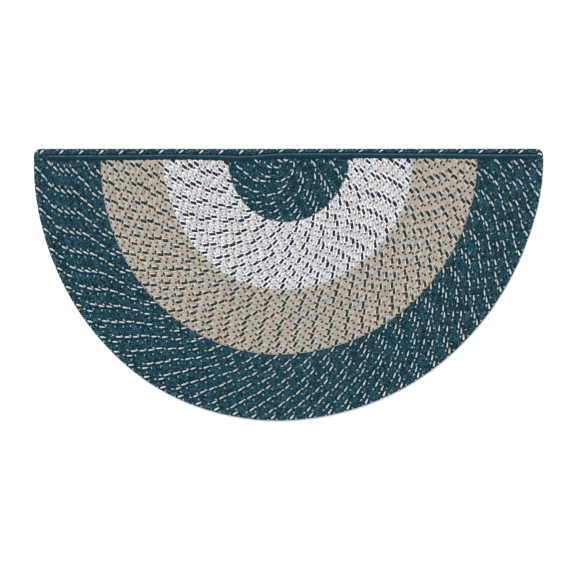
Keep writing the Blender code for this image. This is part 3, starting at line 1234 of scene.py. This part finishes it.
def yarn_material(name, look):
    """Yarn of a braid, in the colours that its stitches carry."""
    material, tree, shader = new_material(name, YARN_SURFACE)
    colour = add_node(tree, "ShaderNodeAttribute", attribute_name="yarn_colour")
    shade = add_node(tree, "ShaderNodeAttribute", attribute_name="shade")
    crown = add_node(tree, "ShaderNodeAttribute", attribute_name="crown")
    yarn = tree.nodes.new("ShaderNodeGroup")
    yarn.node_tree = SPUN_YARN
    links = {
        "Colour": colour.outputs["Color"],
        "Stray": colour.outputs["Alpha"],
        "Shade": shade.outputs["Fac"],
        "Crown": crown.outputs["Fac"],
    }
    for label, socket in links.items():
        tree.links.new(socket, yarn.inputs[label])
    yarn.inputs["Valley Shade"].default_value = look.valley
    yarn.inputs["Fleck Shift"].default_value = look.fleck
    yarn.inputs["Hue Shift"].default_value = look.hue
    tree.links.new(yarn.outputs["Colour"], shader.inputs["Base Color"])
    use_bump(tree, shader, yarn.outputs["Height"], YARN_SURFACE)
    return material


def mottle_noise(tree, mottle):
    """The pattern of a mottling, from 0 to 1."""
    return object_noise(tree, mottle.size, mottle.detail, mottle.shift)


def filler_material(name, colour):
    """The braid's inside, seen in the gaps between its stitches."""
    material, tree, shader = new_material(name, FILLER_SURFACE)
    noise = mottle_noise(tree, FILLER_MOTTLE)
    tint = scaled(tree, colour, about_one(tree, noise, FILLER_MOTTLE.reach))
    tree.links.new(tint, shader.inputs["Base Color"])
    use_bump(tree, shader, noise, FILLER_SURFACE)
    return material


def tape_material(name, colour, highlight_colour):
    """The binding's woven fabric: fine ribs, and a painted highlight along its top that its
    attribute carries.
    """
    material, tree, shader = new_material(name, TAPE_SURFACE)
    uv = add_node(tree, "ShaderNodeUVMap", uv_map="strip")
    parts = add_node(tree, "ShaderNodeSeparateXYZ", {0: uv.outputs[0]})
    threads = []
    for side, pitch in (("X", TAPE_RIB), ("Y", TAPE_WARP)):
        turn = math_node(tree, "MULTIPLY", parts.outputs[side], 2.0 * math.pi / pitch)
        threads.append(math_node(tree, "SINE", turn))
    weave = math_node(tree, "MULTIPLY", *threads)
    # Painted highlight: a paler band along the top of the strip, broken into patches
    painted_highlight = add_node(tree, "ShaderNodeAttribute", attribute_name="painted_highlight").outputs["Fac"]
    patches = about_one(tree, mottle_noise(tree, HIGHLIGHT_MOTTLE), HIGHLIGHT_MOTTLE.reach)
    share = math_node(tree, "MULTIPLY", painted_highlight, patches)
    shade = about_one(tree, mottle_noise(tree, TAPE_MOTTLE), TAPE_MOTTLE.reach)
    tints = [scaled(tree, tint, shade) for tint in (colour, highlight_colour)]
    tree.links.new(mixed(tree, share, *tints), shader.inputs["Base Color"])
    use_bump(tree, shader, weave, TAPE_SURFACE)
    return material


def floor_material():
    """The plain pale floor."""
    material, _, shader = new_material("floor", FLOOR_SURFACE)
    shader.inputs["Base Color"].default_value = (FLOOR_SHADE, FLOOR_SHADE, FLOOR_SHADE, 1.0)
    return material


# The bodies under the stitches, and the binding


def row_band_line(band, share, angles):
    """Plan points at a share across a band, with both ends run on as far as the rows go."""
    inner, outer = band_sides(band, angles)
    points = inner + share * (outer - inner)
    ends = []
    for end in (0, -1):
        x = points[end, 0]
        ends.append([x, row_end_line(x, 0.0) + STITCH_OVERRUN])
    return np.concatenate([[ends[0]], points, [ends[1]]])


def skinned(name, lines, closed_along, finish):
    """A closed mesh over lines that go round its section; its ends are capped or joined."""
    vertices = np.concatenate(lines)
    stations = len(lines[0])
    count = len(lines)
    faces = []
    for s in range(stations if closed_along else stations - 1):
        t = (s + 1) % stations
        for line in range(count):
            other = (line + 1) % count
            here = line * stations
            there = other * stations
            faces.append((here + s, there + s, there + t, here + t))
    if not closed_along:
        faces.append(tuple(line * stations for line in range(count)))
        faces.append(tuple(line * stations + stations - 1 for line in reversed(range(count))))
    mesh = plain_mesh(name, vertices, faces)
    mesh.materials.append(finish)
    shape = bmesh.new()
    shape.from_mesh(mesh)
    bmesh.ops.recalc_face_normals(shape, faces=shape.faces)
    shape.to_mesh(mesh)
    shape.free()
    return link_object(name, mesh)


def at_height(line, height):
    """Plan points raised to a height."""
    return np.hstack([line, np.full((len(line), 1), height)])


def make_body(band, finish):
    """The braid's body under its stitches: a thick sheet, ridged along the rows."""
    rows = len(BAND_PLANS[band])
    angles = np.linspace(0.0, math.pi, BODY_STATIONS)
    inner, outer = band_sides(band, angles)
    inset = BODY_INSET / float(np.linalg.norm(outer[0] - inner[0]))
    shares = []
    for row in range(rows):
        start, width = row_shares(band, row)
        for point in BODY_RIDGE:
            shares.append((start + point.across * width, BODY_TOP + point.rise))
    shares.append((1.0, BODY_TOP))
    shares = [(min(max(share, inset), 1.0 - inset), height) for share, height in shares]
    lines = [at_height(row_band_line(band, share, angles), height) for share, height in shares]
    lines.append(at_height(lines[-1][:, :2], BODY_FOOT))
    lines.append(at_height(lines[0][:, :2], BODY_FOOT))
    return skinned(band + "_body", lines, False, finish)


def make_edge_body(line, finish):
    """The edge braid's body: a closed ring under its stitches."""
    points = line.points[:-1:2]
    across = line.across[:-1:2]
    lines = [at_height(points + point.across * across, point.height) for point in EDGE_SECTION]
    return skinned("edge_body", lines, True, finish)


def smooth_run(knots, count):
    """Points spread evenly along a smooth curve through knots."""
    knots = np.array(knots, float)
    padded = np.concatenate([2 * knots[:1] - knots[1:2], knots, 2 * knots[-1:] - knots[-2:-1]])
    dense = []
    for i in range(len(knots) - 1):
        p0, p1, p2, p3 = padded[i:i + 4]
        for t in np.linspace(0.0, 1.0, CURVE_STEPS, endpoint=False):
            dense.append(0.5 * (
                2 * p1
                + (p2 - p0) * t
                + (2 * p0 - 5 * p1 + 4 * p2 - p3) * t ** 2
                + (3 * p1 - p0 - 3 * p2 + p3) * t ** 3
            ))
    dense.append(knots[-1])
    dense = np.array(dense)
    lengths = run_of_lengths(dense)
    at = np.linspace(0.0, lengths[-1], count)
    return np.stack([np.interp(at, lengths, dense[:, k]) for k in range(knots.shape[1])], 1)


def binding_run(xs, ends):
    """The binding's middle line, width and height at each x, with its puckers and its ends."""
    pucker = np.zeros_like(xs)
    for wave in PUCKERS:
        pucker += np.sin(2.0 * math.pi * (xs / wave.length + wave.phase)) / len(PUCKERS)
    end_at, end_width, end_height = np.array(BINDING_END_TABLE).T
    width = (BINDING_WIDTH + 2.0 * BINDING_SPREAD) * np.interp(ends, end_at, end_width)
    height = BINDING_THICKNESS * np.interp(ends, end_at, end_height) + PUCKER_RISE * pucker
    middle = binding_line(xs) + PUCKER_SWAY * np.roll(pucker, PUCKER_LAG)
    return middle, width, np.minimum(height, BINDING_THICKNESS)


def inner_face(profile, real):
    """The strip's inner face: its profile moved in by the fabric's thickness, back to front."""
    tangents = np.gradient(real, axis=0)
    tangents /= np.linalg.norm(tangents, axis=1)[:, None]
    inward = np.stack([tangents[:, 1], -tangents[:, 0]], 1)
    size = np.array([BINDING_WIDTH, BINDING_THICKNESS])
    return ((real + inward * TAPE_THICKNESS) / size)[::-1]


def make_binding(finish):
    """The fabric strip rolled over the rows' ends, with both its sides turned in underneath."""
    first = BINDING_LEFT_X
    last = RIGHT_X - EDGE_BRAID_WIDTH - GAP
    xs = np.linspace(first, last, BINDING_STATIONS)
    middle, width, height = binding_run(xs, np.minimum(xs - first, last - xs))
    profile = smooth_run(BINDING_PROFILE, BINDING_FACETS)
    real = profile * (BINDING_WIDTH, BINDING_THICKNESS)
    lines = []
    painted_highlight = []
    for across, up in [*profile, *inner_face(profile, real)]:
        lines.append(np.stack([xs, middle + across * width, np.maximum(up * height, 0.0)], 1))
        # Painted highlight: paler colour on the top of the strip, on its side towards the light
        highlit = math.exp(-((across - HIGHLIGHT_PLACE) / HIGHLIGHT_BREADTH) ** 2) if up > 0.5 else 0.0
        painted_highlight += [highlit] * len(xs)
    binding = skinned("binding", lines, False, finish)
    set_attribute(binding.data, "painted_highlight", "FLOAT", painted_highlight)
    girths = run_of_lengths(real)
    both = np.concatenate([girths, girths[::-1]])
    set_map(binding.data, "strip", np.stack([np.tile(xs, len(lines)), np.repeat(both, len(xs))], 1))
    return binding, float(girths[-1]), float(last - first)


# Camera and studio


def add_camera():
    """A camera looking straight down on the rug."""
    data = bpy.data.cameras.new("camera")
    data.sensor_width = SENSOR_WIDTH
    data.lens = data.sensor_width * VIEW_HEIGHT / FRAME_WIDTH
    camera = bpy.data.objects.new("camera", data)
    camera.location = (VIEW_X, VIEW_Y, VIEW_HEIGHT)
    bpy.context.scene.collection.objects.link(camera)
    bpy.context.scene.camera = camera


def add_light():
    """A broad soft light from beyond the straight edge, as even as daylight over the floor."""
    data = bpy.data.lights.new("key", "SUN")
    data.energy = KEY_STRENGTH
    data.angle = math.radians(KEY_BREADTH)
    light = bpy.data.objects.new("key", data)
    light.rotation_euler = Vector(KEY_FROM).to_track_quat("Z", "Y").to_euler()
    bpy.context.scene.collection.objects.link(light)


def add_studio():
    """Floor, world and lights."""
    corners = [(-1, -1), (1, -1), (1, 1), (-1, 1)]
    places = [(x * FLOOR_REACH, y * FLOOR_REACH, 0.0) for x, y in corners]
    mesh = plain_mesh("floor", places, [(0, 1, 2, 3)])
    floor = link_object("floor", mesh)
    mesh.materials.append(floor_material())
    world = bpy.data.worlds.new("studio")
    world.use_nodes = True
    background = world.node_tree.nodes["Background"]
    background.inputs["Color"].default_value = (1.0, 1.0, 1.0, 1.0)
    background.inputs["Strength"].default_value = WORLD_STRENGTH
    bpy.context.scene.world = world
    add_light()
    bpy.context.scene.view_settings.view_transform = "Standard"
    return floor


# Laying the bands


def limits_of(line):
    """The two counts of repeats between which a row's stitches lie."""
    found = []
    for end, step in ((0, 1), (-1, -1)):
        stop = row_end_line(line.points[end, 0]) + STITCH_OVERRUN
        span = line.points[end, 1] - line.points[end + step, 1]
        share = (line.points[end, 1] - stop) / span
        found.append(line.repeats[end] + share * (line.repeats[end + step] - line.repeats[end]))
    return found


def band_rows(band, chosen):
    """The rows of a band with these numbers."""
    rows = RowSet()
    for row in chosen:
        line = row_line(band, row)
        low, high = limits_of(line)
        rows.add(line, BAND_PLANS[band][row].phase, low, high)
    return rows


def mean_repeat(band):
    """A band's usual length of repeat."""
    plans = BAND_PLANS[band]
    return sum(plan.repeat for plan in plans) / len(plans) / 1000.0


def mean_row_width(band):
    """A band's usual row width."""
    inner, outer = band_sides(band, np.array([math.pi / 2.0]))
    return float(np.linalg.norm(outer - inner)) / len(BAND_PLANS[band])


def band_area(band):
    """Plan area of a band's body."""
    angles = np.linspace(0.0, math.pi, AREA_STATIONS)
    there = row_band_line(band, 1.0, angles)
    back = row_band_line(band, 0.0, angles)[::-1]
    x, y = np.concatenate([there, back]).T
    return abs(float(np.dot(x, np.roll(y, 1)) - np.dot(y, np.roll(x, 1)))) / 2.0


def declare(piece):
    """Ride on the rug's one body."""
    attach(piece, BODY)


def shaded_in_gaps(colouring):
    """A braid's ground colour darkened as painted shade for the gaps between its stitches."""
    return tuple(c * (1.0 - colouring.stray) for c in colouring.ground)


def lay_band(plan, seed):
    """A band's body and stitches."""
    colouring = COLOURINGS[plan.colouring]
    finish = yarn_material(plan.slot, YARN_LOOKS[plan.colouring])
    body = make_body(plan.band, filler_material(plan.slot + "_filler", shaded_in_gaps(colouring)))
    repeat = make_repeat(
        plan.band + "_repeat", colouring, mean_repeat(plan.band), mean_row_width(plan.band),
        RETURN_KNOTS,
    )
    rows = range(len(BAND_PLANS[plan.band]))
    half = (len(rows) + 1) // 2
    groups = (rows,) if len(plan.pieces) == 1 else (rows[:half], rows[half:])
    for part, (name, chosen) in enumerate(zip(plan.pieces, groups)):
        piece = lay_braid(name, band_rows(plan.band, chosen), repeat, finish, seed + part)
        declare(piece)
    bpy.data.objects.remove(repeat)
    declare(body)
    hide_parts(plan.band)
    band_area(plan.band)


def lay_edge():
    """The edge braid's body and stitches."""
    line, count = edge_line()
    colouring = COLOURINGS["edge"]
    finish = yarn_material("edge_braid", YARN_LOOKS["edge"])
    body = make_edge_body(line, filler_material("edge_filler", shaded_in_gaps(colouring)))
    length = float(run_of_lengths(line.points)[-1])
    repeat = make_repeat(
        "edge_repeat", colouring, length / count, EDGE_BRAID_WIDTH, EDGE_RETURN_KNOTS
    )
    rows = RowSet()
    rows.add_loop(line, EDGE_BRAID_PLAN.phase, count)
    piece = lay_braid("edge_stitches", rows, repeat, finish, EDGE_SEED)
    bpy.data.objects.remove(repeat)
    declare(piece)
    declare(body)
    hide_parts("edge_braid")


def lay_binding():
    """The binding, in place of its solid."""
    finish = tape_material("binding", TAPE_COLOUR, HIGHLIGHT_COLOUR)
    binding, width, length = make_binding(finish)
    declare(binding)
    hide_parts("edge_binding")


BRAIDING = braiding_tree()
SPUN_YARN = spun_yarn_group()
add_camera()
floor = add_studio()
for number, plan in enumerate(BANDS):
    lay_band(plan, FIRST_SEED + SEED_STEP * number)
lay_edge()
lay_binding()
